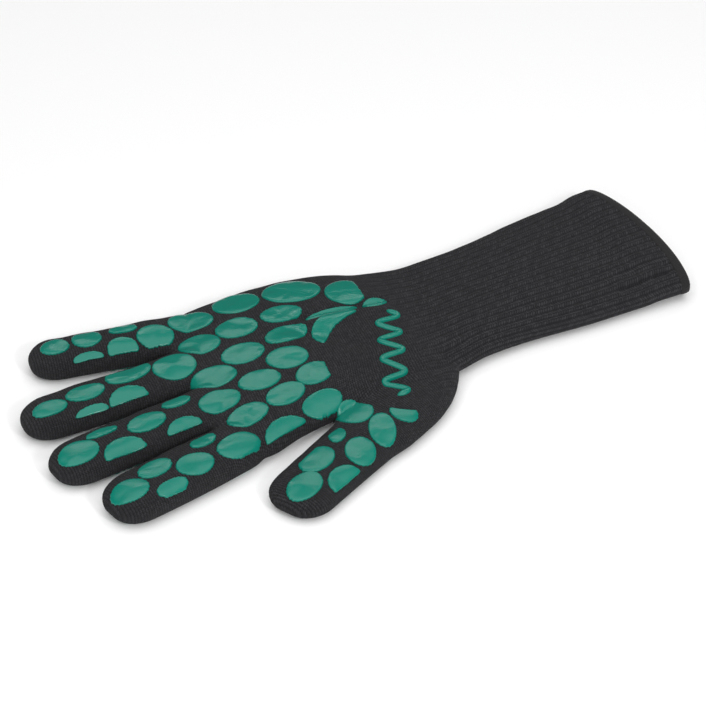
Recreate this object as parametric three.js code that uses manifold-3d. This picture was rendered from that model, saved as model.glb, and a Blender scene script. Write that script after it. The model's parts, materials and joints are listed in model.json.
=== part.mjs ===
// A knitted heat resistant glove with a long ribbed gauntlet, lying flat with its palm up.
// Units are millimetres, +Z is up, +X runs from the fingertips to the hem of the gauntlet.
// An outer shell of knitted aramid holds a separate cotton liner. An overlocked hem binds the two together,
// and silicone grip pads are bonded to the palm side. Shell and liner are each divided where the fabric folds:
// at the four finger roots, at the root of the thumb and at the wrist.
import * as THREE from "three";
import { mergeVertices } from "three/addons/utils/BufferGeometryUtils.js";
import Module from "manifold-3d";

const wasm = await Module();
wasm.setup();

// ---- Driving dimensions ----

const SHELL_WALL = 1.6;
const LINER_WALL = 1.1;
const SEAT = 0.3; // clearance between pieces that lie on each other
const SPLIT = 0.3; // width of the cut where two pieces fold against each other

const PAD_HEIGHT = 1.2;
const PAD_MARGIN = 1.8; // bare knit left beside the edge of the palm or a finger
const PRINT_WINDOW = { x: 2, y: -41, radius: 40 }; // round unprinted area on the heel of the hand
const PRINT_END = 1; // the printed area stops here, short of the wrist

const HEM_LENGTH = 6.5;
const HEM_WALL = 0.8;

const WRIST_FOLD = 31;
const HEM_END = 161.5; // where the hem ends at its thumb side corner
const HEM_BULGE = 5; // the hem runs further out in its middle than at its two corners
const HEM_SKEW = 7.5; // the hem ends this much sooner at its little finger side corner

// Cross-sections of a stuffed tube that rests on the table.
const WIDEST_AT = 0.46; // share of the height at which a section is widest
const SOLE_REACH = 1.12; // how far the lower half would reach if the table didn't flatten it
const ARM_SQUARE = 2.9; // 2 gives an ellipse, and more gives a squarer section
const DIGIT_SQUARE = 2.35;
const ARM_SIDES = { outer: 32, inner: 24 };
const DIGIT_SIDES = { outer: 16, inner: 14 };
const KNUCKLE_ROUNDING = 7;
const KNUCKLE_THINNING = 1.5; // height lost for each millimetre of half width lost
const TIP_ROUNDING = 15;
const TIP_FULLNESS = 0.8; // below 1 keeps a fingertip broad for longer
const TIP_LIFT = 2.4; // a tip that loses this much height rises by one

// Palm and gauntlet: x, edge on the thumb side, edge on the little finger side, height, lift off the table.
const ARM_STATIONS = [
  [-94, -79, 35, 13, 0],
  [-82, -78.5, 39.5, 15, 0],
  [-62, -70.5, 43.5, 16, 0],
  [-38, -63.5, 46, 16.5, 0],
  [-12, -58, 44.5, 16.5, 0],
  [8, -55, 38.5, 15.5, 0],
  [26, -50, 36.5, 14.5, 0],
  [45, -43.5, 39.5, 14, 0],
  [72, -39.5, 46, 13.5, 0],
  [100, -38, 54.5, 13.5, 0],
  [134, -34.5, 64, 13.5, 0],
  [146, -33.5, 68, 13.5, HEM_WALL + SEAT],
  [HEM_END + 15, -30, 72.5, 13.5, HEM_WALL + SEAT],
];

// Fingers and thumb: both ends of the centre line, how far from its root each folds, and along it
// the distance from the root, the half width, the height and the lift off the table.
// The first stations lie inside the palm.
const DIGITS = {
  little: {
    root: [-94, 25],
    tip: [-166, 29.5],
    fold: 19.4,
    stations: [[-16, 9, 8, 3], [0, 13.4, 14], [74, 13.2, 13.5]],
  },
  ring: {
    root: [-94, -5.5],
    tip: [-180.8, -17],
    fold: 22,
    stations: [[-16, 9, 8, 3], [0, 14, 14.5], [90, 13.3, 13.7]],
  },
  middle: {
    root: [-94, -36.5],
    tip: [-176.5, -54.7],
    fold: 11.1,
    stations: [[-16, 9, 8, 3], [0, 14, 14.5], [86, 13.8, 13.7]],
  },
  index: {
    root: [-94, -68.5],
    tip: [-160.3, -89.7],
    fold: 15.8,
    stations: [[-16, 9, 8, 3], [0, 14, 14.5], [35, 15.2, 14.5], [72, 14.2, 13.7]],
  },
  thumb: {
    root: [23.8, -43.8],
    tip: [-88, -116],
    fold: 77.1,
    stations: [
      [0, 5, 7, 3],
      [10, 11, 11, 1],
      [24, 16.7, 12.5],
      [42, 19.6, 12.5],
      [60, 19.2, 12],
      [76, 17, 11.5],
      [134, 15.6, 11],
    ],
  },
};

// Pads on a digit: distance from its root, offset towards the little finger side, length along it and width.
const DIGIT_PADS = {
  little: [[59, 0, 14.5, 11.5], [43, 2, 15, 13.5], [28.3, -9.3, 14, 12.5], [9.8, -5, 16, 12.5]],
  ring: [
    [74.3, -2.4, 17.5, 10],
    [55.5, 0.4, 20, 11],
    [32.4, 3.6, 17.5, 12],
    [38.5, -11.4, 18.5, 13],
    [10, -0.9, 20.5, 16.5],
  ],
  middle: [
    [71.7, -1.4, 18.5, 12],
    [52.8, -11.5, 20.5, 15],
    [36, -0.6, 20, 11.5],
    [22.1, -12.6, 19, 13],
    [0, -5.4, 19.5, 14],
  ],
  index: [[58.9, -1.2, 15.5, 12], [42.4, 3.2, 17.5, 11], [26.3, -4.8, 18.5, 12.5], [3.5, -6.5, 21, 15]],
  thumb: [
    [119.8, -1.1, 18.5, 14.5],
    [102.4, 5, 18.5, 13],
    [104.8, -13, 19, 15.5],
    [86.3, -7.6, 15, 16.5],
    [68.6, -6.9, 13.5, 18],
    [52, -7.8, 12, 14.5],
  ],
};

// Pads on the palm itself: x, y, length along the hand, width across it and turn in degrees.
const PALM_PADS = [
  [-85.5, 25, 22.5, 16, 0],
  [-60.2, 30.5, 24.5, 17.5, 0],
  [-32.2, 29, 30.5, 19.5, 0],
  [-6.7, 16, 20, 22, 0],
  [-87.7, 4, 20.5, 16, 0],
  [-67.3, 8.6, 22, 16, 0],
  [-43.3, 11.3, 22, 13.5, 0],
  [-22, 3, 23, 7, 0],
  [-71.1, -12, 22.5, 15.5, 5],
  [-46.8, -5.8, 23, 14, 10],
  [-22.5, -14, 28, 20, 0],
  [-89.4, -23.1, 23, 16, 0],
  [-70.8, -35.2, 22, 14, 5],
  [-52.6, -25, 21, 15.5, 5],
  [-84.1, -56.4, 22, 14, 15],
  [-62.9, -49.2, 21.5, 14.5, 15],
  [-45, -40.8, 17.5, 16, 0],
  [-70, -73.4, 24, 18.5, 20],
  [-48.7, -59.6, 21, 15, 15],
  [-35.5, -69.6, 16, 16.5, 0],
];

// The raised wave on the heel of the hand: both ends of its centre line, its amplitude, its half ribbon width.
const WAVE = { from: [6, -5], to: [-13.5, -66], amplitude: 5, periods: 4.5, halfWidth: 1.5 };

const COLOUR = { knit: 0x2b2a2d, liner: 0x3a393c, hem: 0x262425, silicone: 0x14917a };

// ---- Solids ----

function solidOf(geometry) {
  const bare = new THREE.BufferGeometry().setAttribute("position", geometry.getAttribute("position"));
  bare.setIndex(geometry.getIndex());
  const merged = mergeVertices(bare, 1e-4);
  return new wasm.Manifold(
    new wasm.Mesh({
      numProp: 3,
      vertProperties: new Float32Array(merged.attributes.position.array),
      triVerts: new Uint32Array(merged.index.array),
    }),
  );
}

function geometryOf(solid) {
  const mesh = solid.getMesh();
  const geometry = new THREE.BufferGeometry();
  geometry.setAttribute("position", new THREE.BufferAttribute(mesh.vertProperties, 3));
  geometry.setIndex(new THREE.BufferAttribute(mesh.triVerts, 1));
  const shaded = geometry.toNonIndexed();
  shaded.computeVertexNormals();
  return shaded;
}

// A closed solid through rings of equal point count, with a fan of triangles across each end.
function loft(rings) {
  const count = rings[0].length;
  const points = rings.flat();
  const triangles = [];
  rings.slice(1).forEach((_, r) => {
    for (let i = 0; i < count; i += 1) {
      const next = (i + 1) % count;
      const [a, b, c, d] = [r * count + i, r * count + next, (r + 1) * count + i, (r + 1) * count + next];
      triangles.push(a, c, b, b, c, d);
    }
  });
  for (const [ring, first] of [[rings[0], true], [rings.at(-1), false]]) {
    const middle = ring.reduce((sum, p) => sum.add(p), new THREE.Vector3()).divideScalar(count);
    const hub = points.push(middle) - 1;
    const start = first ? 0 : (rings.length - 1) * count;
    for (let i = 0; i < count; i += 1) {
      const pair = [start + i, start + ((i + 1) % count)];
      triangles.push(hub, ...(first ? pair : pair.reverse()));
    }
  }
  const geometry = new THREE.BufferGeometry().setFromPoints(points);
  geometry.setIndex(triangles);
  const solid = solidOf(geometry);
  return solid.volume() < 0 ? solidOf(geometry.setIndex(triangles.reverse())) : solid;
}

// ---- Cross-sections of a stuffed tube lying on a table ----

const power = (value, exponent) => Math.sign(value) * Math.abs(value) ** exponent;

// One ring: rounded above, flattened where it rests. grow moves the ring out, or in when it is negative.
function ring(place, grow, count) {
  const { x, y, across, half, height, lift, square } = place;
  const middle = lift + WIDEST_AT * height;
  const [above, below] = [lift + height - middle, (middle - lift) * SOLE_REACH];
  const points = [];
  for (let i = 0; i < count; i += 1) {
    const angle = ((i + 0.5) * 2 * Math.PI) / count;
    const side = power(Math.cos(angle), 2 / square);
    const rise = power(Math.sin(angle), 2 / square);
    const offset = side * (half + grow);
    const z = middle + rise * ((rise > 0 ? above : below) + grow);
    points.push(new THREE.Vector3(x + across.x * offset, y + across.y * offset, Math.max(z, lift - grow)));
  }
  return points;
}

function armPlaces() {
  return ARM_STATIONS.map(([x, near, far, height, lift]) => ({
    x,
    y: (near + far) / 2,
    across: new THREE.Vector2(0, 1),
    half: (far - near) / 2,
    height,
    lift,
    square: ARM_SQUARE,
  }));
}

// Palm and gauntlet in one tube, rounded at the knuckle end. It runs past the hem, where the pieces are cut
// to length, and past moves that end further out.
function arm(grow, past = 0) {
  const places = armPlaces();
  const knuckles = places[0];
  const rounding = KNUCKLE_ROUNDING + grow;
  const nose = [90, 60, 30].map((degrees) => {
    const angle = THREE.MathUtils.degToRad(degrees);
    const shrink = rounding * (1 - Math.cos(angle));
    return {
      ...knuckles,
      x: knuckles.x - rounding * Math.sin(angle),
      half: knuckles.half - shrink,
      height: knuckles.height - KNUCKLE_THINNING * shrink,
      lift: knuckles.lift + (KNUCKLE_THINNING / 2) * shrink,
    };
  });
  const end = places.at(-1);
  const all = [...nose, ...places, { ...end, x: end.x + 1 + past }];
  const sides = grow >= 0 ? ARM_SIDES.outer : ARM_SIDES.inner;
  return loft(all.map((place) => ring(place, grow, sides)));
}

function digitFrame({ root, tip }) {
  const start = new THREE.Vector2(...root);
  const along = new THREE.Vector2(...tip).sub(start);
  const length = along.length();
  along.normalize();
  const across = new THREE.Vector2(along.y, -along.x);
  if (across.y < 0) across.negate();
  return { start, along, across, length };
}

function digitPlaces(digit, grow) {
  const { start, along, across, length } = digitFrame(digit);
  const cylinderEnd = length - TIP_ROUNDING;
  const at = (distance, half, height, lift = 0, shrink = 1) => ({
    x: start.x + along.x * distance,
    y: start.y + along.y * distance,
    across,
    half: half * shrink,
    height: height * shrink,
    lift: lift + (height * (1 - shrink)) / TIP_LIFT,
    square: DIGIT_SQUARE,
  });
  const straight = digit.stations.map(([distance, ...size]) => at(Math.min(distance, cylinderEnd), ...size));
  const [, half, height] = digit.stations.at(-1);
  const cap = [28, 52, 72, 86].map((degrees) => {
    const angle = THREE.MathUtils.degToRad(degrees);
    const distance = cylinderEnd + (TIP_ROUNDING + grow) * Math.sin(angle);
    return at(distance, half, height, 0, Math.cos(angle) ** TIP_FULLNESS);
  });
  return [...straight, ...cap];
}

// A narrow ring grows less, so that an inner tube keeps its end.
function digitTube(digit, grow) {
  const sides = grow >= 0 ? DIGIT_SIDES.outer : DIGIT_SIDES.inner;
  return loft(digitPlaces(digit, grow).map((place) => ring(place, grow * Math.min(1, place.half / 8), sides)));
}

// ---- Cutting the tubes apart where the fabric folds ----

function beyondFold(solid, digit) {
  const { start, along } = digitFrame(digit);
  return solid.trimByPlane([along.x, along.y, 0], start.dot(along) + digit.fold + SPLIT / 2);
}

function beforeFold(solid, digit) {
  const { start, along } = digitFrame(digit);
  return solid.trimByPlane([-along.x, -along.y, 0], -(start.dot(along) + digit.fold - SPLIT / 2));
}

const digits = Object.entries(DIGITS);
const withDigits = (solid, shape) => digits.reduce((sum, [, digit]) => sum.add(shape(digit)), solid);

// The wall between two grown skins, for the palm with the stubs of its digits.
function palmWall(outer, inner) {
  const handArm = arm(outer).trimByPlane([-1, 0, 0], -(WRIST_FOLD - SPLIT / 2));
  const outside = withDigits(handArm, (digit) => beforeFold(digitTube(digit, outer), digit));
  return outside.subtract(withDigits(arm(inner), (digit) => digitTube(digit, inner)));
}

// All that lies past the curved edge of the mouth, moved further out by the offset.
function pastMouth(offset) {
  const [, near, far] = ARM_STATIONS.at(-1);
  const curve = [-0.1, 0, 0.15, 0.3, 0.5, 0.7, 0.85, 1, 1.1].map((share) => {
    const bulge = HEM_BULGE * (1 - (2 * share - 1) ** 2);
    const skew = HEM_SKEW * Math.max(share, 0) ** 1.4;
    return new THREE.Vector2(HEM_END + offset + bulge - skew, THREE.MathUtils.lerp(near, far, share));
  });
  const away = HEM_END + 60;
  const corners = [new THREE.Vector2(away, curve[0].y), new THREE.Vector2(away, curve.at(-1).y)];
  return prism([...corners, ...curve.reverse()], -5);
}

function cuffWall(outer, inner) {
  return arm(outer)
    .subtract(arm(inner, 1))
    .subtract(pastMouth(0))
    .trimByPlane([1, 0, 0], WRIST_FOLD + SPLIT / 2);
}

const digitWall = (digit, outer, inner) =>
  beyondFold(digitTube(digit, outer).subtract(digitTube(digit, inner)), digit);

// The overlocked hem: a channel folded over the ends of shell and liner.
function hem() {
  const outerSkin = HEM_WALL + SEAT;
  const lining = -(SHELL_WALL + SEAT + LINER_WALL);
  const channel = arm(outerSkin)
    .subtract(arm(lining - outerSkin, 1))
    .intersect(pastMouth(-HEM_LENGTH))
    .subtract(pastMouth(outerSkin));
  const slot = arm(SEAT)
    .subtract(arm(lining - SEAT))
    .subtract(pastMouth(SEAT));
  return channel.subtract(slot);
}

// ---- Grip pads ----

function prism(outline, bottom = 7) {
  const shape = new THREE.Shape(outline);
  return solidOf(new THREE.ExtrudeGeometry(shape, { depth: 30, bevelEnabled: false }).translate(0, 0, bottom));
}

function oval(x, y, length, width, turn) {
  const curve = new THREE.EllipseCurve(x, y, length / 2, width / 2, 0, 2 * Math.PI, false, turn);
  return curve.getPoints(14).slice(0, -1);
}

// The plan of a tube, drawn in from its edges by the margin.
function plan(places, margin) {
  const wide = places.filter(({ half }) => half > margin + 1);
  const edge = (sign) =>
    wide.map(({ x, y, across, half }) => new THREE.Vector2(x, y).addScaledVector(across, sign * (half - margin)));
  return prism([...edge(1), ...edge(-1).reverse()]);
}

const skin = (grow) => withDigits(arm(grow), (digit) => digitTube(digit, grow));
const printedSkin = skin(SEAT + PAD_HEIGHT).subtract(skin(SEAT));
const heelWindow = prism(oval(PRINT_WINDOW.x, PRINT_WINDOW.y, 2 * PRINT_WINDOW.radius, 2 * PRINT_WINDOW.radius, 0));

// The flat outline of the glove as it lies on the printing form, drawn in by the bare margin.
function flatOutline() {
  const knuckles = armPlaces()[0];
  const handArm = [{ ...knuckles, x: knuckles.x - KNUCKLE_ROUNDING + PAD_MARGIN }, ...armPlaces()];
  return withDigits(plan(handArm, PAD_MARGIN), (digit) => plan(digitPlaces(digit, 0), PAD_MARGIN));
}
const printedPlan = flatOutline();

const largest = (solid) => solid.decompose().sort((a, b) => b.volume() - a.volume())[0];

// A patch of the printed skin. A sliver left over where the skin dips is not printed.
function pad(x, y, length, width, turn) {
  return largest(
    prism(oval(x, y, length, width, turn))
      .intersect(printedPlan)
      .subtract(heelWindow)
      .trimByPlane([-1, 0, 0], -PRINT_END)
      .intersect(printedSkin),
  );
}

// A ribbon that swings from side to side along its centre line.
function wave() {
  const from = new THREE.Vector2(...WAVE.from);
  const along = new THREE.Vector2(...WAVE.to).sub(from);
  const across = new THREE.Vector2(-along.y, along.x).normalize();
  const rate = WAVE.periods * 2 * Math.PI;
  const steps = Math.round(WAVE.periods * 10);
  const edgePoint = (share, side) => {
    const phase = rate * share;
    const slope = along.clone().addScaledVector(across, WAVE.amplitude * Math.cos(phase) * rate);
    const outwards = new THREE.Vector2(-slope.y, slope.x).normalize();
    const point = from.clone().addScaledVector(along, share);
    point.addScaledVector(across, WAVE.amplitude * Math.sin(phase));
    return point.addScaledVector(outwards, side * WAVE.halfWidth);
  };
  const edge = (side) => Array.from({ length: steps + 1 }, (_, i) => edgePoint(i / steps, side));
  return largest(prism([...edge(1), ...edge(-1).reverse()]).intersect(printedSkin));
}

// ---- The assembly ----

const cloth = (color) => new THREE.MeshStandardMaterial({ color, metalness: 0, roughness: 0.95 });
const materials = {
  knit: cloth(COLOUR.knit),
  liner: cloth(COLOUR.liner),
  hem: cloth(COLOUR.hem),
  silicone: new THREE.MeshStandardMaterial({ color: COLOUR.silicone, metalness: 0, roughness: 0.35 }),
};

const glove = new THREE.Group();

function place(name, solid, material) {
  const mesh = new THREE.Mesh(geometryOf(solid), materials[material]);
  mesh.name = name;
  glove.add(mesh);
}

const linerOut = -(SHELL_WALL + SEAT);
const linerIn = linerOut - LINER_WALL;
place("palm_shell", palmWall(0, -SHELL_WALL), "knit");
place("palm_liner", palmWall(linerOut, linerIn), "liner");
place("cuff_shell", cuffWall(0, -SHELL_WALL), "knit");
place("cuff_liner", cuffWall(linerOut, linerIn), "liner");
place("cuff_hem", hem(), "hem");
for (const [name, digit] of digits) {
  place(`${name}_shell`, digitWall(digit, 0, -SHELL_WALL), "knit");
  place(`${name}_liner`, digitWall(digit, linerOut, linerIn), "liner");
  const { start, along, across } = digitFrame(digit);
  DIGIT_PADS[name].forEach(([distance, offset, length, width], i) => {
    const centre = start.clone().addScaledVector(along, distance).addScaledVector(across, offset);
    place(`${name}_pad_${i + 1}`, pad(centre.x, centre.y, length, width, along.angle()), "silicone");
  });
}
PALM_PADS.forEach(([x, y, length, width, degrees], i) => {
  place(`palm_pad_${i + 1}`, pad(x, y, length, width, THREE.MathUtils.degToRad(degrees)), "silicone");
});
place("heel_wave", wave(), "silicone");

// The origin is the middle of the outline, on the table.
const bounds = new THREE.Box3().setFromObject(glove);
const middle = bounds.getCenter(new THREE.Vector3());
glove.position.set(-middle.x, -middle.y, -bounds.min.z);

export default glove;
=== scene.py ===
"""The looks of a knitted heat resistant glove that lies palm up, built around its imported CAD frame.

The knit is one smooth skin that is remeshed from tubes, ribbed on the gauntlet and creased on the palm.
It is then divided into a piece for each body. Grip pads, hem and lining are pieces of their own. Lengths are
in millimetres until a mesh, a camera or a light is made, and in metres from there on.
"""

import json
import math

import bpy
import numpy as np
from mathutils import Matrix, Vector
from mathutils.bvhtree import BVHTree

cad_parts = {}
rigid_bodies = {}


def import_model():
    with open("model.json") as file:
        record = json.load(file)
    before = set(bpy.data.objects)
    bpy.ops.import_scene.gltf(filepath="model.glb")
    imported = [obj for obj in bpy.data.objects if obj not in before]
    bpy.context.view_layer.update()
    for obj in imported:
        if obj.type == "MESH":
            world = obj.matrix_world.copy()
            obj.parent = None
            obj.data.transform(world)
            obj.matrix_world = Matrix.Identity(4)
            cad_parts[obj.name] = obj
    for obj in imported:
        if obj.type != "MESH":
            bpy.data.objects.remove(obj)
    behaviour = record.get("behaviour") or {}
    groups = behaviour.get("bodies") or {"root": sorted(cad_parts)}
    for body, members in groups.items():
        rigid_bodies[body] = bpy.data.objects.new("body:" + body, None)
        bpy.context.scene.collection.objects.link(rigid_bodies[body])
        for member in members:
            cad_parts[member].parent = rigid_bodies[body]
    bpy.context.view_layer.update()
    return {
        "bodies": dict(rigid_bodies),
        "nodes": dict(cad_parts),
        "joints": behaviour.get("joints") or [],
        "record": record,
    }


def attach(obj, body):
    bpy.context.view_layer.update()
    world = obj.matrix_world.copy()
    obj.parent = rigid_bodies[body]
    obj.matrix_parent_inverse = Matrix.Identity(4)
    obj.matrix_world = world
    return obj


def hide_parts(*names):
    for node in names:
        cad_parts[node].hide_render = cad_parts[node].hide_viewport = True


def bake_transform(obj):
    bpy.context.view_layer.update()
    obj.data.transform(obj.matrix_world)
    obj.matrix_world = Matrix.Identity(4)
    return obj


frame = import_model()

# ---- Driving dimensions. Tubes, hem and wave have the CAD part's. ----

MM = 0.001
WRIST_FOLD = 31.0
WRIST_MIDDLE = -8.0
HEM_END = 161.5
HEM_BULGE = 5.0
HEM_SKEW = 7.5
HEM_STANDS = 1.1

JOINTS = {joint["name"]: joint for joint in frame["joints"]}
SHIFT = np.array([
    JOINTS["wrist_fold"]["pos_m"][0] / MM - WRIST_FOLD,
    JOINTS["wrist_fold"]["pos_m"][1] / MM - WRIST_MIDDLE,
])

# Palm and gauntlet: x, edge on the thumb side, edge on the little finger side, height, lift off the table.
ARM = np.array([
    [-94, -79, 35, 13, 0],
    [-82, -78.5, 39.5, 15, 0],
    [-62, -70.5, 43.5, 16, 0],
    [-38, -63.5, 46, 16.5, 0],
    [-12, -58, 44.5, 16.5, 0],
    [8, -55, 38.5, 15.5, 0],
    [26, -50, 36.5, 14.5, 0],
    [45, -43.5, 39.5, 14, 0],
    [72, -39.5, 46, 13.5, 0],
    [100, -38, 54.5, 13.5, 0],
    [134, -34.5, 64, 13.5, 0],
    [146, -33.5, 68, 13.5, HEM_STANDS],
    [HEM_END + 15, -30, 72.5, 13.5, HEM_STANDS],
], float)

# Digits: both ends of the centre line, two distances named for the bend, the first of which starts the digit's
# own piece, and how far out the knit turns to follow the digit. Then distance from the root, half width, height
# and lift at each station.
DIGITS = {
    "little": dict(root=(-94, 25), tip=(-166, 29.5), bend=(17, 33), turn=2,
                   stations=[[-16, 9, 8, 3], [0, 13.4, 14, 0], [74, 13.2, 13.5, 0]]),
    "ring": dict(root=(-94, -5.5), tip=(-180.8, -17), bend=(17, 33), turn=2,
                 stations=[[-16, 9, 8, 3], [0, 14, 14.5, 0], [90, 13.3, 13.7, 0]]),
    "middle": dict(root=(-94, -36.5), tip=(-176.5, -54.7), bend=(8, 24), turn=2,
                   stations=[[-16, 9, 8, 3], [0, 14, 14.5, 0], [86, 13.8, 13.7, 0]]),
    "index": dict(root=(-94, -68.5), tip=(-160.3, -89.7), bend=(8, 26), turn=2,
                  stations=[[-16, 9, 8, 3], [0, 14, 14.5, 0], [35, 15.2, 14.5, 0], [72, 14.2, 13.7, 0]]),
    "thumb": dict(root=(23.8, -43.8), tip=(-88, -116), bend=(76, 92), turn=44,
                  stations=[[0, 5, 7, 3], [10, 11, 11, 1], [24, 16.7, 12.5, 0], [42, 19.6, 12.5, 0],
                            [60, 19.2, 12, 0], [76, 17, 11.5, 0], [134, 15.6, 11, 0]]),
}
CUFF_BEND = (23.0, 42.0)
TIP_ROUNDING = 15.0
KNUCKLE_ROUNDING = 7.0
SOLE = 1.1  # the cloth's underside on the hand, held up by the pads on the back
ARM_SQUARE, DIGIT_SQUARE = 2.9, 2.35  # how square the sections are, where 2 is an ellipse

VOXEL = 0.75
SMOOTHINGS = 14

# Knit: width and height of a stitch, and the pitch and height of the ribs on the gauntlet.
HAND_WALE, HAND_COURSE = 1.75, 1.25
CUFF_COURSE = 1.4
RIB_PITCH, RIB_HEIGHT = 5.2, 0.2
REFERENCE_HALF = 50.0
RIB_START, RIB_FULL = -12.0, 34.0

PAD_HEIGHT = 0.9
BACK_PAD_SCALE = 0.88
PAD_ANGLES = 144

# A pad ends where the upward part of the knit's direction falls below this, on the palm side and on the back.
LEAST_FACING, LEAST_FACING_BACK = 0.35, 0.97

# Pads with no solid of their own: the body that each goes with, and its centre, length, width and turn.
SLIVERS = {
    "little_fold": ("little", -118.3, 30.6, 14, 7, -10),
    "little_edge": ("little", -139.5, 16.6, 15, 6.5, -5),
    "ring_edge": ("ring", -149.1, -24.6, 17, 6.5, 8),
    "middle_far_edge": ("middle", -150.2, -44.4, 16, 5.5, 10),
    "middle_fold": ("middle", -112.0, -35.4, 15, 7.5, 12),
    "index_fold": ("index", -109.4, -67.6, 14, 8, 22),
    "index_edge": ("index", -131.4, -91.4, 16, 7.5, 17),
    "thumb_crotch": ("hand", -50.0, -82.0, 12, 8, 60),
    "palm_crease": ("hand", 3.5, 4.4, 13, 8.5, 4),
}

# Pads drawn with an oval of their own instead of the CAD solid's outline: centre, length, width and turn.
OUTLINES = {
    "little_pad_3": (-122.3, 16.8, 15.2, 14, 165),
    "little_pad_4": (-105, 20.2, 18.5, 15, 165),
    "ring_pad_3": (-126.2, -5.2, 24, 14.5, 14),
    "ring_pad_5": (-104.2, -8.2, 21.8, 18, 4),
    "middle_pad_1": (-163.6, -53.8, 19.7, 14, 10),
    "middle_pad_5": (-92.8, -41.7, 21, 14.5, 8),
    "index_pad_1": (-149.8, -88, 18, 13, 4),
    "index_pad_3": (-117.6, -81.3, 18.3, 12.8, 8),
    "index_pad_4": (-95.1, -75.3, 22, 14, 14),
    "thumb_pad_1": (-76.2, -109.9, 20, 14.2, 34),
    "thumb_pad_4": (-44.3, -96.2, 18.5, 14.3, 70),
    "thumb_pad_5": (-29.3, -85.8, 21.5, 12.8, 74),
    "palm_pad_1": (-85.5, 25, 22.7, 16.2, 168),
    "palm_pad_2": (-60.2, 30.5, 24.2, 18.5, 176),
    "palm_pad_3": (-31.6, 29, 30, 20.5, 170),
    "palm_pad_4": (-6.7, 18, 21, 21.5, 0),
    "palm_pad_5": (-87.7, 4.2, 20.8, 15.8, 165),
    "palm_pad_8": (-19.5, 4.2, 28, 5.8, 2),
    "palm_pad_11": (-20, -11, 32, 24, 15),
    "palm_pad_12": (-89.4, -23, 22.5, 16, 174),
    "palm_pad_14": (-53, -24.2, 21, 15.7, 176),
    "palm_pad_16": (-62.9, -49.1, 21.2, 13.8, 20),
    "palm_pad_17": (-45.2, -39.8, 19.8, 15, 24),
    "palm_pad_19": (-48.7, -59.6, 22.2, 13.2, 20),
    "palm_pad_20": (-36, -69, 17.5, 17.5, 0),
}
# Pads that keep the solid's outline and are enlarged by this factor.
SPREAD = {"ring_pad_4": 1.08, "middle_pad_2": 1.05, "palm_pad_18": 1.05, "thumb_pad_2": 1.12}

# How far from the edges of a digit its print stops, on the thumb side and on the little finger side, and the
# pads that this doesn't cut.
NEAR_MARGIN, FAR_MARGIN = 1.5, 6.0
WHOLE_OVALS = ("thumb_pad_4", "thumb_pad_5", "thumb_pad_6")

# Where nothing is printed: a round window on the heel of the hand, and all of the gauntlet from here on.
WINDOW_AT, WINDOW_RADIUS = np.array([2.0, -41.0]), 40.0
PRINT_END = 1.0

# The raised wave on the heel of the hand, as in the CAD part.
WAVE_FROM, WAVE_TO = (6.0, -5.0), (-13.5, -66.0)
WAVE_AMPLITUDE, WAVE_PERIODS, WAVE_HALF_WIDTH, WAVE_HEIGHT = 5.0, 4.5, 1.7, 1.3

# Colours, each pair from dark to light. On the knit and the lining the dark end is also painted shade in the
# gaps between stitches.
KNIT_DARK, KNIT_LIGHT = (0.006, 0.006, 0.007), (0.044, 0.043, 0.048)
LINING_DARK, LINING_LIGHT = (0.008, 0.008, 0.009), (0.035, 0.034, 0.036)
HEM_DARK, HEM_LIGHT = (0.006, 0.0055, 0.006), (0.026, 0.024, 0.025)
TEAL_DARK, TEAL_LIGHT = (0.001, 0.155, 0.108), (0.002, 0.21, 0.155)

rng = np.random.default_rng(7)


# ---- Small numeric helpers ----

def smoothstep(value, low, high):
    t = np.clip((value - low) / (high - low), 0, 1)
    return t * t * (3 - 2 * t)


def curve_through(x, y, at):
    """Cubic curve through the rows of y that never overshoots them."""
    step = np.diff(x)[:, None]
    slope = np.diff(y, axis=0) / step
    tangent = np.empty_like(y)
    product = slope[:-1] * slope[1:]
    total = slope[:-1] + slope[1:]
    tangent[1:-1] = np.where(product > 0, 2 * product / np.where(total == 0, 1, total), 0)
    tangent[0], tangent[-1] = slope[0], slope[-1]
    k = np.clip(np.searchsorted(x, at, side="right") - 1, 0, len(x) - 2)
    h = (x[k + 1] - x[k])[:, None]
    t = (at - x[k])[:, None] / h
    return (
        (2 * t**3 - 3 * t**2 + 1) * y[k]
        + (t**3 - 2 * t**2 + t) * h * tangent[k]
        + (3 * t**2 - 2 * t**3) * y[k + 1]
        + (t**3 - t**2) * h * tangent[k + 1]
    )


def ripple(points, wavelength, seed):
    """Smooth noise from -1 to 1 at points, a sum of plane waves in fixed random directions."""
    source = np.random.default_rng(seed)
    directions = source.normal(size=(7, points.shape[1]))
    directions /= np.linalg.norm(directions, axis=1)[:, None]
    phases = source.uniform(0, 2 * math.pi, 7)
    scales = source.uniform(0.7, 1.4, 7)
    waves = []
    for direction, scale, phase in zip(directions, scales, phases):
        waves.append(np.sin(points @ (direction * scale * 2 * math.pi / wavelength) + phase))
    return np.mean(waves, axis=0) * 1.6


def around(angles):
    """Unit vectors of the plan at these angles."""
    return np.column_stack([np.cos(angles), np.sin(angles)])


# ---- Tubes ----

def axis_of(digit):
    root = np.array(digit["root"], float) + SHIFT
    along = np.array(digit["tip"], float) + SHIFT - root
    length = np.linalg.norm(along)
    along /= length
    across = np.array([along[1], -along[0]])
    if across[1] < 0:
        across = -across
    return root, along, across, length


def ring(centre, across, half, height, lift, square, sole, count):
    angle = (np.arange(count) + 0.5) * 2 * math.pi / count
    side = np.sign(np.cos(angle)) * np.abs(np.cos(angle)) ** (2 / square)
    rise = np.sign(np.sin(angle)) * np.abs(np.sin(angle)) ** (2 / square)
    middle = lift + 0.46 * height
    z = middle + rise * np.where(rise > 0, lift + height - middle, (middle - lift) * 1.12)
    z = np.maximum(z, lift + sole)
    plan = np.array(centre)[None, :] + side[:, None] * half * np.array(across)[None, :]
    return np.column_stack([plan, z])


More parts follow.
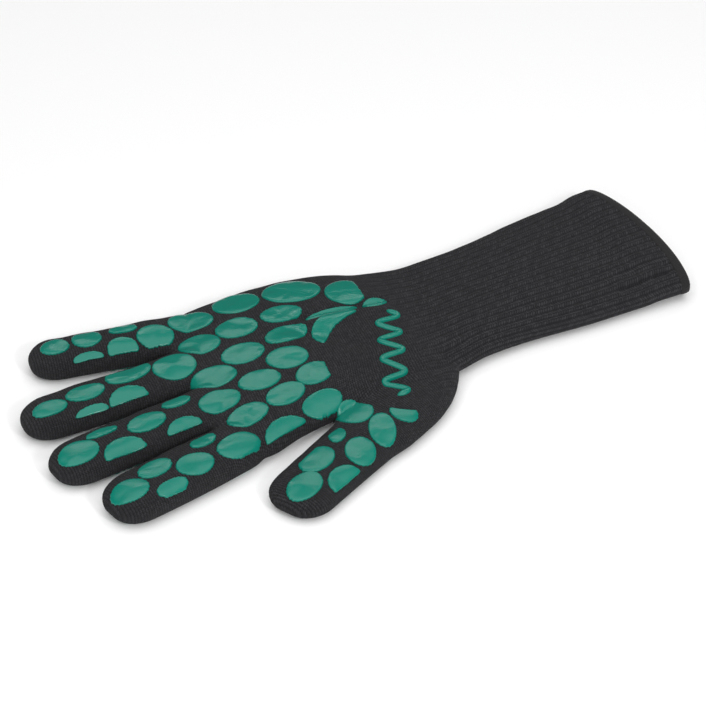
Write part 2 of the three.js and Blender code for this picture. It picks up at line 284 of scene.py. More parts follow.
def tube(rings):
    """Closed tube through rings: its vertices and faces."""
    count = len(rings[0])
    points = list(np.vstack(rings))
    faces = []
    for r in range(len(rings) - 1):
        for i in range(count):
            j = (i + 1) % count
            faces.append((r * count + i, r * count + j, (r + 1) * count + j, (r + 1) * count + i))
    for start, ring_points in ((0, rings[0]), ((len(rings) - 1) * count, rings[-1])):
        points.append(ring_points.mean(0))
        hub = len(points) - 1
        for i in range(count):
            j = (i + 1) % count
            faces.append((start + j, start + i, hub) if start == 0 else (start + i, start + j, hub))
    return np.array(points), faces


def arm_rings(count=120):
    x = np.arange(ARM[0, 0], ARM[-1, 0] + 1, 2.0)
    rows = curve_through(ARM[:, 0], ARM[:, 1:], x)
    rings = []
    near, far, height, lift = rows[0]
    for degrees in (90, 75, 60, 45, 30, 15):
        angle = math.radians(degrees)
        shrink = KNUCKLE_ROUNDING * (1 - math.cos(angle))
        centre = np.array([ARM[0, 0] - KNUCKLE_ROUNDING * math.sin(angle), (near + far) / 2]) + SHIFT
        rings.append(ring(centre, (0, 1), (far - near) / 2 - shrink, height - 1.5 * shrink,
                          lift + 0.75 * shrink, ARM_SQUARE, SOLE, count))
    for at, (near, far, height, lift) in zip(x, rows):
        sole = SOLE * (1 - smoothstep(at, 5, 40)) + 0.15
        centre = np.array([at, (near + far) / 2]) + SHIFT
        rings.append(ring(centre, (0, 1), (far - near) / 2, height, lift, ARM_SQUARE, sole, count))
    return rings


def digit_rings(digit, count=64):
    root, along, across, length = axis_of(digit)
    stations = np.array(digit["stations"], float)
    end = length - TIP_ROUNDING
    at = np.arange(stations[0, 0], end, 2.0)
    rows = curve_through(stations[:, 0], stations[:, 1:], at)
    rings = []
    for distance, (half, height, lift) in zip(at, rows):
        rings.append(ring(root + along * distance, across, half, height, lift, DIGIT_SQUARE, SOLE, count))
    half, height, _ = curve_through(stations[:, 0], stations[:, 1:], np.array([end]))[0]
    for degrees in (0, 12, 24, 36, 48, 58, 67, 75, 82, 87):
        angle = math.radians(degrees)
        shrink = math.cos(angle) ** 0.8
        lift = height * (1 - shrink) / 2.4
        rings.append(ring(root + along * (end + TIP_ROUNDING * math.sin(angle)), across, half * shrink,
                          height * shrink, lift, DIGIT_SQUARE, SOLE if degrees < 40 else 0.3, count))
    return rings


# ---- The knit skin ----

def remeshed(tubes):
    """One skin around overlapping closed tubes: vertices in millimetres and quads."""
    points, faces, base = [], [], 0
    for tube_points, tube_faces in tubes:
        points.append(tube_points)
        faces += [tuple(base + i for i in face) for face in tube_faces]
        base += len(tube_points)
    mesh = bpy.data.meshes.new("tubes")
    mesh.from_pydata((np.vstack(points) * MM).tolist(), [], faces)
    thing = bpy.data.objects.new("tubes", mesh)
    bpy.context.scene.collection.objects.link(thing)
    remesh = thing.modifiers.new("remesh", "REMESH")
    remesh.mode = "VOXEL"
    remesh.voxel_size = VOXEL * MM
    evaluated = thing.evaluated_get(bpy.context.evaluated_depsgraph_get())
    result = evaluated.to_mesh()
    co = np.empty(len(result.vertices) * 3)
    result.vertices.foreach_get("co", co)
    quads = np.array([tuple(p.vertices) for p in result.polygons if len(p.vertices) == 4])
    evaluated.to_mesh_clear()
    bpy.data.objects.remove(thing)
    return co.reshape(-1, 3) / MM, quads


def edges_of(quads):
    pairs = np.concatenate([quads[:, [i, (i + 1) % 4]] for i in range(4)])
    return np.unique(np.sort(pairs, axis=1), axis=0)


def smoothed(points, edges, times, shares=(0.5, -0.52)):
    count = len(points)
    degree = np.bincount(edges.ravel(), minlength=count)[:, None].clip(1)
    for _ in range(times):
        for share in shares:
            total = np.column_stack([
                np.bincount(edges[:, 0], points[edges[:, 1], k], count)
                + np.bincount(edges[:, 1], points[edges[:, 0], k], count)
                for k in range(3)
            ])
            points = points + share * (total / degree - points)
    return points


def normals_of(points, quads):
    face = np.cross(points[quads[:, 2]] - points[quads[:, 0]], points[quads[:, 3]] - points[quads[:, 1]])
    total = np.zeros_like(points)
    for i in range(4):
        for k in range(3):
            total[:, k] += np.bincount(quads[:, i], face[:, k], len(points))
    return total / np.linalg.norm(total, axis=1)[:, None].clip(1e-9)


def girth(offset, z, half, height):
    """Signed way round a flattened tube from the middle of its top, towards positive offsets."""
    corner = height / 2
    flat = np.maximum(half - corner, 0)
    side = np.abs(offset)
    up = z - corner
    turn = np.arctan2(np.maximum(side - flat, 0), up)
    round_part = flat + np.where(up > 0, np.maximum(corner * turn, side - flat), corner * turn)
    below = flat + corner * math.pi + np.maximum(flat - side, 0)
    way = np.where(side > flat, round_part, np.where(up > 0, side, below))
    return np.sign(offset) * way


def arm_size(x):
    rows = curve_through(ARM[:, 0], ARM[:, 1:], np.clip(x - SHIFT[0], ARM[0, 0], ARM[-1, 0]))
    near, far, height, lift = rows.T
    return (near + far) / 2 + SHIFT[1], (far - near) / 2, height, lift


def arm_course(x, y, z):
    middle, half, height, lift = arm_size(x)
    return girth(y - middle, z - lift, half, height) / half * REFERENCE_HALF


def knit_map(points):
    """The way along each course and along each wale at every point, in millimetres."""
    x, y, z = points.T
    course = arm_course(x, y, z)
    wale = x.copy()
    for name, digit in DIGITS.items():
        root, along, across, _ = axis_of(digit)
        distance = (points[:, :2] - root) @ along
        offset = (points[:, :2] - root) @ across
        stations = np.array(digit["stations"], float)
        inside = np.clip(distance, 0, stations[-1, 0])
        half, height, _ = curve_through(stations[:, 0], stations[:, 1:], inside).T
        turn = root + along * digit["turn"]
        own_course = arm_course(turn[:1], turn[1:], np.array([12.0]))[0] + girth(offset, z, half, height)
        own_wale = turn[0] - (distance - digit["turn"])
        if name == "thumb":
            weight = smoothstep(distance, 2, 78) * (1 - smoothstep(offset, 8, 36))
        else:
            weight = smoothstep(distance, -12, 14) * (np.abs(offset) < 15.5)
        course = course + weight * (own_course - course)
        wale = wale + weight * (own_wale - wale)
    return course, wale


def ribbed(points):
    """How strongly the cloth is ribbed, from 0 on the fingers to 1 on the gauntlet."""
    return smoothstep(points[:, 0] - SHIFT[0], RIB_START, RIB_FULL)


def groove(points, start, end, width, depth):
    """A valley in the top of the cloth, from start to end, which rises into a soft ridge beside it."""
    a = np.array(start) + SHIFT
    b = np.array(end) + SHIFT
    way = b - a
    length = np.linalg.norm(way)
    way = way / length
    relative = points[:, :2] - a
    along = relative @ way
    aside = relative @ np.array([-way[1], way[0]])
    fade = smoothstep(along, -width, width) * (1 - smoothstep(along, length - width, length + width))
    top = smoothstep(points[:, 2], 6, 10)
    valley = -depth * np.exp(-(aside / width) ** 2)
    ridge = 0.55 * depth * np.exp(-((aside + 2.1 * width) / (1.6 * width)) ** 2)
    return (valley + ridge) * fade * top


CREASES = [
    ((-38, 4), (10, 5), 3.0, 2.0),
    ((-46, -1), (-14, -30), 5.0, 0.8),
    ((154, -22), (124, -27), 2.4, 1.5),
    ((158, -14), (130, -16), 2.6, 1.0),
    ((120, 48), (92, 43), 4.0, 0.7),
    ((22, -46), (2, -62), 3.0, 1.0),
    ((34, -38), (14, -44), 3.0, 0.8),
    ((-58, -70), (-44, -80), 3.0, 0.9),
]


def knit_skin():
    tubes = [tube(arm_rings())] + [tube(digit_rings(digit)) for digit in DIGITS.values()]
    points, quads = remeshed(tubes)
    points = smoothed(points, edges_of(quads), SMOOTHINGS)
    course, wale = knit_map(points)
    rib = ribbed(points)
    course = course + 0.8 * rib * ripple(points[:, :2], 55, 21)
    normals = normals_of(points, quads)
    top = smoothstep(points[:, 2], 3, 8)
    push = top * (0.35 * ripple(points[:, :2], 34, 3) + 0.2 * ripple(points[:, :2], 13, 5)) * (1 - 0.7 * rib)
    push += RIB_HEIGHT * rib * np.cos(2 * math.pi * course / RIB_PITCH) * (0.35 + 0.65 * top)
    points = points + normals * push[:, None]
    for start, end, width, depth in CREASES:
        points[:, 2] += groove(points, start, end, width, depth)
    points[:, 2] = np.maximum(points[:, 2], 0.1)
    return points, quads, np.column_stack([course, wale, rib])


def mouth_x(y, offset=0.0):
    near, far = ARM[-1, 1] + SHIFT[1], ARM[-1, 2] + SHIFT[1]
    share = (y - near) / (far - near)
    skew = HEM_SKEW * np.clip(share, 0, 2) ** 1.4
    return SHIFT[0] + HEM_END + offset + HEM_BULGE * (1 - (2 * share - 1) ** 2) - skew


def mesh_object(name, points, faces, material):
    mesh = bpy.data.meshes.new(name)
    mesh.from_pydata((np.asarray(points) * MM).tolist(), [], [tuple(int(i) for i in f) for f in faces])
    mesh.polygons.foreach_set("use_smooth", [True] * len(mesh.polygons))
    mesh.materials.append(material)
    thing = bpy.data.objects.new(name, mesh)
    bpy.context.scene.collection.objects.link(thing)
    return thing


def add_vectors(thing, name, values):
    attribute = thing.data.attributes.new(name, "FLOAT_VECTOR", "POINT")
    attribute.data.foreach_set("vector", np.asarray(values, np.float32).ravel())


def body_of_face(centres):
    """The piece that each face of the skin goes to."""
    body = np.full(len(centres), "hand", dtype=object)
    body[centres[:, 0] - SHIFT[0] > CUFF_BEND[0] - 1] = "cuff"
    best = np.full(len(centres), 1.22)
    for name, digit in DIGITS.items():
        root, along, across, _ = axis_of(digit)
        distance = (centres[:, :2] - root) @ along
        aside = np.abs((centres[:, :2] - root) @ across) / (16.0 if name == "thumb" else 14.0)
        mine = (distance > digit["bend"][0] - 1) & (aside < best)
        body[mine] = name
        best[mine] = aside[mine]
    return body


def bend_points(name):
    """Two points on a body's centre line at its bend distances, in metres."""
    if name == "cuff":
        line = [np.array([x, WRIST_MIDDLE]) + SHIFT for x in CUFF_BEND]
    else:
        root, along, _, _ = axis_of(DIGITS[name])
        line = [root + along * distance for distance in DIGITS[name]["bend"]]
    return [Vector((p[0] * MM, p[1] * MM, 0.008)) for p in line]


def put(thing, body):
    """A piece on the hand rides on it. Any other only has its transform applied and is left without a parent.
    """
    if body == "hand":
        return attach(thing, "hand")
    start, end = bend_points(body)
    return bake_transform(thing)


def knit_pieces(points, quads, knit, material):
    centres = points[quads].mean(1)
    keep = centres[:, 0] < mouth_x(centres[:, 1], -1.0)
    quads, centres = quads[keep], centres[keep]
    normals = normals_of(points, quads)
    bodies = body_of_face(centres)
    for body in frame["bodies"]:
        faces = quads[bodies == body]
        used, flat = np.unique(faces, return_inverse=True)
        thing = mesh_object("knit_" + body, points[used], flat.reshape(-1, 4), material)
        add_vectors(thing, "knit", knit[used])
        thing.data.normals_split_custom_set_from_vertices(normals[used].tolist())
        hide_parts(body_node(body, "shell"))
        if body != "cuff":
            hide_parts(body_node(body, "liner"))
        put(thing, body)


def body_node(body, layer):
    return ("palm" if body == "hand" else body) + "_" + layer


# ---- Grip pads ----

def past_margin(name, spot):
    """Whether a point of the plan is too near an edge of the digit that a pad is named after."""
    for digit_name, digit in DIGITS.items():
        if digit_name in name and name not in WHOLE_OVALS:
            root, along, across, _ = axis_of(digit)
            stations = np.array(digit["stations"], float)
            distance = np.clip((spot - root) @ along, 0, stations[-1, 0])
            half = curve_through(stations[:, 0], stations[:, 1:], np.array([distance]))[0, 0]
            offset = (spot - root) @ across
            return offset > half - FAR_MARGIN or offset < NEAR_MARGIN - half
    return False


FIRST_SHARE = 0.08
SHARE_STEP = 0.04


def bare(name, spot):
    """Whether nothing of a pad is printed at a point of the plan."""
    at = spot - SHIFT
    if name == "pad_palm_crease":
        return False
    in_window = np.linalg.norm(at - WINDOW_AT) < WINDOW_RADIUS
    return at[0] > PRINT_END or in_window or past_margin(name, spot)


class Skin:
    """Finds the spot on the knit straight above or below a point of the plan."""

    def __init__(self, points, quads):
        self.tree = BVHTree.FromPolygons(points.tolist(), quads.tolist())
        self.normals = normals_of(points, quads)[quads].mean(1)

    def spot(self, x, y, above=True):
        """Where the knit is at x, y, and which way it faces there, or None past its edge."""
        start = Vector((x, y, 60.0 if above else -20.0))
        place, _, face, _ = self.tree.ray_cast(start, Vector((0, 0, -1.0 if above else 1.0)))
        return None if place is None else (np.array(place), self.normals[face])

    def reach(self, name, middle, directions, reach, above=True):
        """The reach in each direction, cut where the print or the knit ends, or where the knit turns away.

        On the back it turns away sooner, because the pads there carry the glove.
        """
        least = LEAST_FACING if above else LEAST_FACING_BACK
        cut = np.array(reach)
        for i, way in enumerate(directions):
            for share in np.linspace(FIRST_SHARE, 1, 24):
                spot = middle + way * reach[i] * share
                found = None if bare(name, spot) else self.spot(*spot, above)
                if not found or abs(found[1][2]) < least:
                    cut[i] = reach[i] * max(share - SHARE_STEP, FIRST_SHARE)
                    break
        return cut

    def spots(self, plan, above=True):
        """Places and directions over plan points that are all on the knit."""
        found = [self.spot(x, y, above) for x, y in plan]
        known = [f for f in found if f]
        found = [f or known[0] for f in found]
        return np.array([f[0] for f in found]), np.array([f[1] for f in found])


def oval_reach(length, width, turn, angles):
    """Distance from the middle of an oval to its edge in each direction."""
    local = angles - turn
    return 1 / np.sqrt((np.cos(local) / (length / 2)) ** 2 + (np.sin(local) / (width / 2)) ** 2)


def solid_reach(node, angles):
    """Middle of a CAD pad's outline, and the distance from it to its edge in each direction."""
    mesh = frame["nodes"][node].data
    co = np.array([v.co for v in mesh.vertices])[:, :2] / MM
    edges = np.array([tuple(e.vertices) for e in mesh.edges])
    a, b = co[edges[:, 0]], co[edges[:, 1]]
    low, high = co.min(0), co.max(0)
    middle = (low + high) / 2
    for _ in range(3):
        reach = ray_reach(a - middle, b - middle, angles)
        rim = middle + around(angles) * reach[:, None]
        middle = rim.mean(0)
    return middle, ray_reach(a - middle, b - middle, angles)


def pad_outline(node, angles):
    """Middle and reach of the print that a CAD pad stands for."""
    if node in OUTLINES:
        x, y, length, width, degrees = OUTLINES[node]
        centre = np.array([x, y]) + SHIFT
        reach = oval_reach(length, width, math.radians(degrees), angles)
        rim = centre + around(angles) * reach[:, None]
        middle = np.mean([spot for spot in rim if not bare(node, spot)], axis=0)
        return middle, ray_reach(rim - middle, np.roll(rim, -1, axis=0) - middle, angles)
    middle, reach = solid_reach(node, angles)
    return middle, rounded(reach, 1) * SPREAD.get(node, 1)


def ray_reach(a, b, angles):
    """The furthest crossing of each ray from the origin with the segments a to b."""
    reach = np.zeros(len(angles))
    way = b - a
    for i, angle in enumerate(angles):
        u = np.array([math.cos(angle), math.sin(angle)])
        cross = way[:, 0] * u[1] - way[:, 1] * u[0]
        cross = np.where(np.abs(cross) < 1e-9, 1e-9, cross)
        along = (way[:, 0] * a[:, 1] - way[:, 1] * a[:, 0]) / cross
        share = (u[0] * a[:, 1] - u[1] * a[:, 0]) / cross
        good = (share >= -1e-6) & (share <= 1 + 1e-6) & (along > 0)
        reach[i] = along[good].max() if good.any() else 1.0
    return reach


def rounded(reach, times):
    for _ in range(times):
        reach = 0.5 * reach + 0.25 * (np.roll(reach, 1) + np.roll(reach, -1))
    return reach


RIM = [0, 0.12, 0.3, 0.5, 0.68, 0.82, 0.91, 0.955, 0.98, 0.995, 1.0]
RISE = [1.04, 1.04, 1.03, 1.02, 1.01, 1.0, 0.96, 0.86, 0.66, 0.3, -0.5]


def pad_mesh(name, middle, reach, angles, skin, height, above=True, seed=0):
    """A cast patch of silicone: nearly flat, with a rounded edge that follows the stitches under it."""
    directions = around(angles)
    reach = rounded(skin.reach(name, middle, directions, reach, above), 1)
    teeth = np.round(reach.mean() * 2 * math.pi / HAND_WALE)
    ragged = 0.13 * np.sin(angles * teeth + seed) + rng.normal(0, 0.05, len(angles))
    reach = reach + ragged
    plan = np.vstack([middle + directions * (reach * share)[:, None] for share in RIM[1:]] + [middle])
    rise = np.repeat(np.array(RISE[1:] + [RISE[0]]), [len(angles)] * (len(RIM) - 1) + [1])
    places, normals = skin.spots(plan, above)
    wobble = 0.07 * ripple(plan, 5.5, 11 + seed % 17) + 0.03 * ripple(plan, 2.4, 29 + seed % 13)
    thick = height * rise + wobble * (rise > 0.8)
    points = places + normals * thick[:, None]
    points[:, 2] = np.maximum(points[:, 2], 0.02)
    count = len(angles)
    faces = []
    for r in range(len(RIM) - 2):
        for i in range(count):
            j = (i + 1) % count
            faces.append((r * count + i, (r + 1) * count + i, (r + 1) * count + j, r * count + j))
    hub = len(points) - 1
    faces += [(hub, i, (i + 1) % count) for i in range(count)]
    if not above:
        faces = [face[::-1] for face in faces]
    return points, faces


def joined(meshes):
    points, faces, base = [], [], 0
    for mesh_points, mesh_faces in meshes:
        points.append(mesh_points)
        faces += [tuple(base + i for i in face) for face in mesh_faces]
        base += len(mesh_points)
    return np.vstack(points), faces


def pads(skin, material):
    angles = np.arange(PAD_ANGLES) * 2 * math.pi / PAD_ANGLES
    back_angles = angles[::2]
    backs = {body: [] for body in frame["bodies"]}
    owner = {n: body for body, nodes in frame["record"]["behaviour"]["bodies"].items() for n in nodes}
    places = []
    for node in sorted(n for n in frame["nodes"] if "_pad_" in n):
        middle, reach = pad_outline(node, angles)
        places.append((node, owner[node], middle, reach, node))
    for name, (body, x, y, length, width, degrees) in SLIVERS.items():
        reach = oval_reach(length, width, math.radians(degrees), angles)
        places.append(("pad_" + name, body, np.array([x, y]) + SHIFT, reach, None))
    for seed, (name, body, middle, reach, node) in enumerate(places):
        points, faces = pad_mesh(name, middle, reach, angles, skin, PAD_HEIGHT, True, seed)
        thing = mesh_object("grip_" + name, points, faces, material)
        if node:
            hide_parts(node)
        put(thing, body)
        if node:
            back_reach = BACK_PAD_SCALE * reach[::2]
            under = pad_mesh(name, middle, back_reach, back_angles, skin, PAD_HEIGHT, False, seed + 40)
            backs[body].append(under)
    for body, meshes in backs.items():
        if meshes:
            thing = mesh_object("back_grips_" + body, *joined(meshes), material)
            put(thing, body)


def wave(skin, material):
    """The raised ribbon on the heel of the hand."""
    start = np.array(WAVE_FROM) + SHIFT
    along = np.array(WAVE_TO) + SHIFT - start
    across = np.array([-along[1], along[0]]) / np.linalg.norm(along)
    rate = WAVE_PERIODS * 2 * math.pi
    steps = 180
    share = np.linspace(0, 1, steps + 1)
    line = start + share[:, None] * along + np.sin(share * rate)[:, None] * WAVE_AMPLITUDE * across
    slope = np.gradient(line, axis=0)
    slope /= np.linalg.norm(slope, axis=1)[:, None]
    normal = np.column_stack([-slope[:, 1], slope[:, 0]])
    ends = np.sqrt(np.clip(1 - np.clip(1 - np.minimum(share, 1 - share) * steps / 4, 0, 1) ** 2, 0.02, 1))
    width = WAVE_HALF_WIDTH * ends * (1 + 0.06 * ripple(line, 3.0, 3))
    base = skin.spots(line)[0][:, 2]
    sections = 12
    points = []
    for k in range(sections + 1):
        angle = math.pi * k / sections
        plan = line + normal * (width * math.cos(angle))[:, None]
        rise = WAVE_HEIGHT * math.sin(angle) ** 0.7 * ends - (0.6 if k in (0, sections) else 0.0)
        points.append(np.column_stack([plan, base + rise]))
    count = steps + 1
    faces = []
    for k in range(sections):
        for i in range(steps):
            faces.append((k * count + i, k * count + i + 1, (k + 1) * count + i + 1, (k + 1) * count + i))
    thing = mesh_object("grip_heel_wave", np.vstack(points), [f[::-1] for f in faces], material)
    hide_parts("heel_wave")
    put(thing, "hand")


# ---- Hem and lining ----

def mouth_loop(grow, count, offset):
    """The outline of the gauntlet's mouth, grown by grow and moved out by offset along the gauntlet."""
    rows = curve_through(ARM[:, 0], ARM[:, 1:], np.array([HEM_END, HEM_END - HEM_SKEW]) + offset)
    near, far, (height, lift) = rows[0, 0], rows[1, 1], rows[0, 2:]
    centre = np.array([0, (near + far) / 2]) + SHIFT
    loop = ring(centre, (0, 1), (far - near) / 2 + grow, height, lift, ARM_SQUARE, 0, count)
    middle = lift + 0.5 * height
    loop[:, 2] = middle + (loop[:, 2] - middle) * (1 + grow / (height / 2))
    loop[:, 0] = mouth_x(loop[:, 1], offset)
    return loop


def hem(material):
    """The overlocked hem: a rolled band with slanted ridges of thread, folded over shell and lining."""
    count = 480
    profile = [(-4.6, -0.5), (-4.6, 0.0), (-4.0, 0.3), (-3, 0.42), (-1.6, 0.42), (-0.5, 0.35), (0.4, 0.1),
               (0.8, -0.4), (0.9, -1.4), (0.6, -2.4), (0, -3.1), (-1.5, -3.4), (-4.6, -3.4), (-4.6, -2.9)]
    rings = []
    for k, (offset, grow) in enumerate(profile):
        loop = mouth_loop(grow, count, offset)
        way = np.concatenate([[0], np.cumsum(np.linalg.norm(np.diff(loop, axis=0), axis=1))])
        thread = 0.08 * np.cos(2 * math.pi * (way / 1.7 + 0.25 * k))
        middle = loop.mean(0)
        outwards = loop - middle
        outwards[:, 0] = 0
        outwards /= np.linalg.norm(outwards, axis=1)[:, None]
        rings.append(loop + outwards * thread[:, None])
    points = np.vstack(rings)
    points[:, 2] = np.maximum(points[:, 2], 0.02)
    faces = []
    total = len(profile)
    for k in range(total):
        for i in range(count):
            j = (i + 1) % count
            n = (k + 1) % total
            faces.append((k * count + i, k * count + j, n * count + j, n * count + i))
    thing = mesh_object("hem_band", points, faces, material)
    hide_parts("cuff_hem")
    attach(thing, "cuff")


def lining(material):
    """The cotton lining inside the gauntlet, a thin tube that is open at both ends."""
    count = 160
    rings = []
    for grow, order in ((-1.9, 1), (-3.0, -1)):
        layer = []
        for x in np.arange(CUFF_BEND[1] + 4, HEM_END + 0.5, 4.0):
            near, far, height, lift = curve_through(ARM[:, 0], ARM[:, 1:], np.array([x]))[0]
            centre = np.array([x, (near + far) / 2]) + SHIFT
            loop = ring(centre, (0, 1), (far - near) / 2, height, lift, ARM_SQUARE, 0, count)
            middle = loop.mean(0)
            loop[:, 1] = middle[1] + (loop[:, 1] - middle[1]) * (1 + grow / ((far - near) / 2))
            loop[:, 2] = lift + height / 2 + (loop[:, 2] - lift - height / 2) * (1 + grow / (height / 2))
            loop[:, 0] += (mouth_x(loop[:, 1]) - SHIFT[0] - HEM_END) * smoothstep(x, HEM_END - 40, HEM_END)
            layer.append(loop)
        rings += layer[::order]
    points = np.vstack(rings)
    total = len(rings)
    faces = []
    for k in range(total):
        for i in range(count):
            j = (i + 1) % count
            n = (k + 1) % total
            faces.append((k * count + i, k * count + j, n * count + j, n * count + i))
    thing = mesh_object("gauntlet_lining", points, faces, material)
    unribbed = np.zeros(len(points))
    add_vectors(thing, "knit", np.column_stack([points[:, 1] + points[:, 2], points[:, 0], unribbed]))
    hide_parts("cuff_liner")
    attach(thing, "cuff")


# ---- Materials ----

class Nodes:
    """Short calls for building a shader."""

    def __init__(self, name):
        self.material = bpy.data.materials.new(name)
        self.material.use_nodes = True
        self.tree = self.material.node_tree
        self.shader = self.tree.nodes["Principled BSDF"]

    def math(self, operation, *values):
        node = self.tree.nodes.new("ShaderNodeMath")
        node.operation = operation
        for socket, value in zip(node.inputs, values):
            self.feed(socket, value)
        return node.outputs[0]

    def feed(self, socket, value):
        if isinstance(value, bpy.types.NodeSocket):
            self.tree.links.new(value, socket)
        else:
            socket.default_value = value

    def node(self, kind, **inputs):
        node = self.tree.nodes.new(kind)
        for name, value in inputs.items():
            self.feed(node.inputs[name.replace("_", " ")], value)
        return node

    def join(self, x, y, z):
        node = self.tree.nodes.new("ShaderNodeCombineXYZ")
        for socket, value in zip(node.inputs, (x, y, z)):
            self.feed(socket, value)
        return node.outputs[0]

    def from_middle(self, value):
        """How far the fractional part of a value is from a half, from 0 to 1."""
        distance = self.math("ABSOLUTE", self.math("SUBTRACT", self.math("FRACT", value), 0.5))
        return self.math("MULTIPLY", distance, 2.0)

    def blend(self, share, first, second):
        """Between two numbers by a share."""
        return self.math("ADD", self.math("MULTIPLY", first, self.math("SUBTRACT", 1.0, share)),
                         self.math("MULTIPLY", second, share))


def stitches(nodes, course, wale, width, height, span):
    """Height of V-shaped stitches, from 0 in the gaps to 1 on the yarn, and a number for each stitch.

    span is the share of a wale's width that its stitches fill.
    """
    across = nodes.math("ADD", nodes.math("DIVIDE", course, width), 0.5)
    leg = nodes.from_middle(across)
    slant = nodes.math("MULTIPLY", leg, 0.22 * width / height)
    down = nodes.math("ADD", nodes.math("DIVIDE", wale, height), slant)
    along = nodes.from_middle(down)
    hump_along = nodes.math("SUBTRACT", 1.0, nodes.math("POWER", along, 1.3))
    middle = nodes.math("SUBTRACT", nodes.math("DIVIDE", leg, span), 0.5)
    off_leg = nodes.math("MULTIPLY", nodes.math("ABSOLUTE", middle), 2.0)
    hump_across = nodes.math("MAXIMUM", nodes.math("SUBTRACT", 1.0, nodes.math("POWER", off_leg, 2.5)), 0.0)
    side = nodes.math("FLOOR", nodes.math("MULTIPLY", across, 2.0))
    noise = nodes.node("ShaderNodeTexWhiteNoise", Vector=nodes.join(side, nodes.math("FLOOR", down), 0.0))
    return nodes.math("MULTIPLY", hump_along, hump_across), noise.outputs["Value"]


def knit_material(name, dark, light, contrast):
    nodes = Nodes(name)
    attribute = nodes.tree.nodes.new("ShaderNodeAttribute")
    attribute.attribute_name = "knit"
    split = nodes.node("ShaderNodeSeparateXYZ", Vector=attribute.outputs["Vector"])
    course, wale, rib = split.outputs
    wander = nodes.node("ShaderNodeTexNoise", Scale=130.0, Detail=2.0)
    shift = nodes.math("MULTIPLY", nodes.math("SUBTRACT", wander.outputs[0], 0.5), 1.1)
    course = nodes.math("ADD", course, shift)
    wale = nodes.math("ADD", wale, shift)
    hand, hand_number = stitches(nodes, course, wale, HAND_WALE, HAND_COURSE, 1.0)
    cuff, cuff_number = stitches(nodes, course, wale, RIB_PITCH, CUFF_COURSE, 0.85)
    cuff = nodes.math("MAXIMUM", cuff, nodes.math("MULTIPLY", hand, 0.4))
    hump = nodes.blend(rib, hand, cuff)
    number = nodes.blend(rib, hand_number, cuff_number)
    fuzz = nodes.node("ShaderNodeTexNoise", Scale=1800.0, Detail=3.0)
    patches = nodes.node("ShaderNodeTexNoise", Scale=45.0, Detail=3.0)
    spread = nodes.math("MULTIPLY", nodes.math("POWER", number, 2.0), 2.4 * contrast)
    fleck = nodes.math("ADD", 1.0 - contrast, spread)
    # The colour follows the stitch height, so the gaps between stitches and the grooves between the gauntlet's
    # ribs get painted shade.
    tone_with_painted_shade = nodes.math("MULTIPLY", hump, fleck)
    tone_with_painted_shade = nodes.math("ADD", tone_with_painted_shade, nodes.math("MULTIPLY", fuzz.outputs[0], 0.16))
    worn = nodes.math("ADD", 0.55, nodes.math("MULTIPLY", patches.outputs[0], 0.9))
    tone_with_painted_shade = nodes.math("MULTIPLY", tone_with_painted_shade, worn)
    colour = nodes.tree.nodes.new("ShaderNodeMix")
    colour.data_type = "RGBA"
    nodes.feed(colour.inputs["Factor"], tone_with_painted_shade)
    colour.inputs["A"].default_value = (*dark, 1)
    colour.inputs["B"].default_value = (*light, 1)
    nodes.tree.links.new(colour.outputs["Result"], nodes.shader.inputs["Base Color"])
    height = nodes.math("ADD", hump, nodes.math("MULTIPLY", fuzz.outputs[0], 0.35))
    bump = nodes.node("ShaderNodeBump", Strength=0.9, Distance=0.0005, Height=height)
    nodes.tree.links.new(bump.outputs[0], nodes.shader.inputs["Normal"])
    nodes.shader.inputs["Roughness"].default_value = 0.92
    nodes.shader.inputs["Specular IOR Level"].default_value = 0.12
    nodes.shader.inputs["Sheen Weight"].default_value = 0.04
    nodes.shader.inputs["Sheen Roughness"].default_value = 0.5
    return nodes.material


def silicone_material():
    nodes = Nodes("teal silicone")
    cloud = nodes.node("ShaderNodeTexNoise", Scale=90.0, Detail=4.0)
    fine = nodes.node("ShaderNodeTexNoise", Scale=420.0, Detail=3.0)
    colour = nodes.tree.nodes.new("ShaderNodeMix")
    colour.data_type = "RGBA"
    nodes.tree.links.new(cloud.outputs[0], colour.inputs["Factor"])
    colour.inputs["A"].default_value = (*TEAL_DARK, 1)
    colour.inputs["B"].default_value = (*TEAL_LIGHT, 1)
    nodes.tree.links.new(colour.outputs["Result"], nodes.shader.inputs["Base Color"])
    rough = nodes.math("ADD", 0.1, nodes.math("MULTIPLY", fine.outputs[0], 0.14))
    nodes.tree.links.new(rough, nodes.shader.inputs["Roughness"])
    bump = nodes.node("ShaderNodeBump", Strength=0.12, Distance=0.0003, Height=fine.outputs[0])
    nodes.tree.links.new(bump.outputs[0], nodes.shader.inputs["Normal"])
    nodes.shader.inputs["Specular IOR Level"].default_value = 0.4
    return nodes.material


def hem_material():
    nodes = Nodes("overlocked hem")
    place = nodes.node("ShaderNodeTexCoord")
    threads = nodes.node("ShaderNodeTexNoise", Vector=place.outputs["Object"], Scale=1500.0, Detail=3.0)
    colour = nodes.tree.nodes.new("ShaderNodeMix")
    colour.data_type = "RGBA"
    nodes.tree.links.new(threads.outputs[0], colour.inputs["Factor"])
    colour.inputs["A"].default_value = (*HEM_DARK, 1)
    colour.inputs["B"].default_value = (*HEM_LIGHT, 1)
    nodes.tree.links.new(colour.outputs["Result"], nodes.shader.inputs["Base Color"])
    bump = nodes.node("ShaderNodeBump", Strength=0.6, Distance=0.0003, Height=threads.outputs[0])
    nodes.tree.links.new(bump.outputs[0], nodes.shader.inputs["Normal"])
    nodes.shader.inputs["Roughness"].default_value = 0.85
    nodes.shader.inputs["Specular IOR Level"].default_value = 0.2
    nodes.shader.inputs["Sheen Weight"].default_value = 0.08
    return nodes.material


# ---- Studio ----

CAMERA_AT = np.array([-307.5, -751.1])
CAMERA_HEIGHT = 578.2
CAMERA_LOOKS_AT = np.array([-14.17, -11.29])
CAMERA_FIELD = 20.0

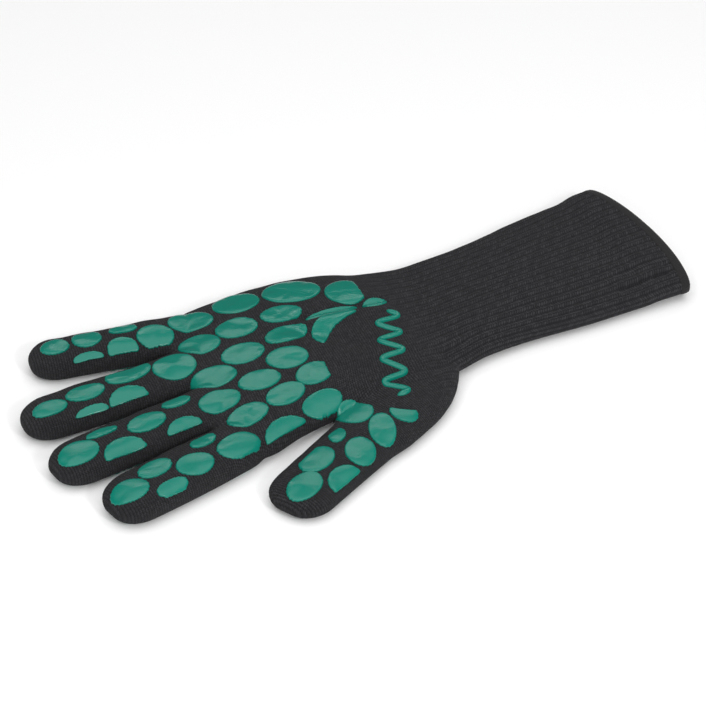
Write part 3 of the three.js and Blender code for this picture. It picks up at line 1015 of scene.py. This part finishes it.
# Lights: metres away from the camera, up and to the right of the glove, then size in metres and power in watts.
LIGHTS = {
    "overhead": ((-0.35, 1.8, 0), (3.0, 2.6), 36),
    "fill": ((-1.5, 0.8, 0), (2.5, 1.2), 18),
    "strip": ((1.2, 1.15, 0), (1.6, 0.12), 4),
    "sparkle": ((-0.85, 0.7, 0.6), (0.1, 0.1), 3),
}


def camera():
    data = bpy.data.cameras.new("camera")
    data.sensor_width = 36.0
    data.lens = 18.0 / math.tan(math.radians(CAMERA_FIELD / 2))
    data.clip_start = 0.05
    thing = bpy.data.objects.new("camera", data)
    bpy.context.scene.collection.objects.link(thing)
    at = Vector((*((CAMERA_AT + SHIFT) * MM), CAMERA_HEIGHT * MM))
    target = Vector((*((CAMERA_LOOKS_AT + SHIFT) * MM), 0))
    thing.matrix_world = Matrix.Translation(at) @ (target - at).to_track_quat("-Z", "Y").to_matrix().to_4x4()
    bpy.context.scene.camera = thing
    return at, target


def area_light(name, at, target, size, power):
    data = bpy.data.lights.new(name, "AREA")
    data.shape = "RECTANGLE"
    data.size, data.size_y = size
    data.energy = power
    thing = bpy.data.objects.new(name, data)
    bpy.context.scene.collection.objects.link(thing)
    thing.matrix_world = Matrix.Translation(at) @ (target - at).to_track_quat("-Z", "Y").to_matrix().to_4x4()


def floor():
    nodes = Nodes("pale floor")
    nodes.shader.inputs["Base Color"].default_value = (0.96, 0.96, 0.96, 1)
    nodes.shader.inputs["Roughness"].default_value = 0.9
    nodes.shader.inputs["Specular IOR Level"].default_value = 0.0
    half = 3000
    corners = [(-half, -half, 0), (half, -half, 0), (half, half, 0), (-half, half, 0)]
    mesh_object("floor", corners, [(0, 1, 2, 3)], nodes.material)


def studio():
    at, target = camera()
    sight = (target - at).normalized()
    right = sight.cross(Vector((0, 0, 1))).normalized()
    away = Vector((sight.x, sight.y, 0)).normalized()
    up = Vector((0, 0, 1))
    for name, (place, size, power) in LIGHTS.items():
        offset = away * place[0] + up * place[1] + right * place[2]
        area_light(name, target + offset, target, size, power)
    world = bpy.data.worlds.new("studio")
    world.use_nodes = True
    world.node_tree.nodes["Background"].inputs["Color"].default_value = (1, 1, 1, 1)
    world.node_tree.nodes["Background"].inputs["Strength"].default_value = 0.12
    bpy.context.scene.world = world
    bpy.context.scene.view_settings.view_transform = "Standard"
    floor()


studio()
knit_cloth = knit_material("knitted aramid", KNIT_DARK, KNIT_LIGHT, 0.35)
lining_cloth = knit_material("cotton lining", LINING_DARK, LINING_LIGHT, 0.3)
silicone = silicone_material()
skin_points, skin_quads, skin_knit = knit_skin()
knit_pieces(skin_points, skin_quads, skin_knit, knit_cloth)
skin = Skin(skin_points, skin_quads)
pads(skin, silicone)
wave(skin, silicone)
hem(hem_material())
lining(lining_cloth)
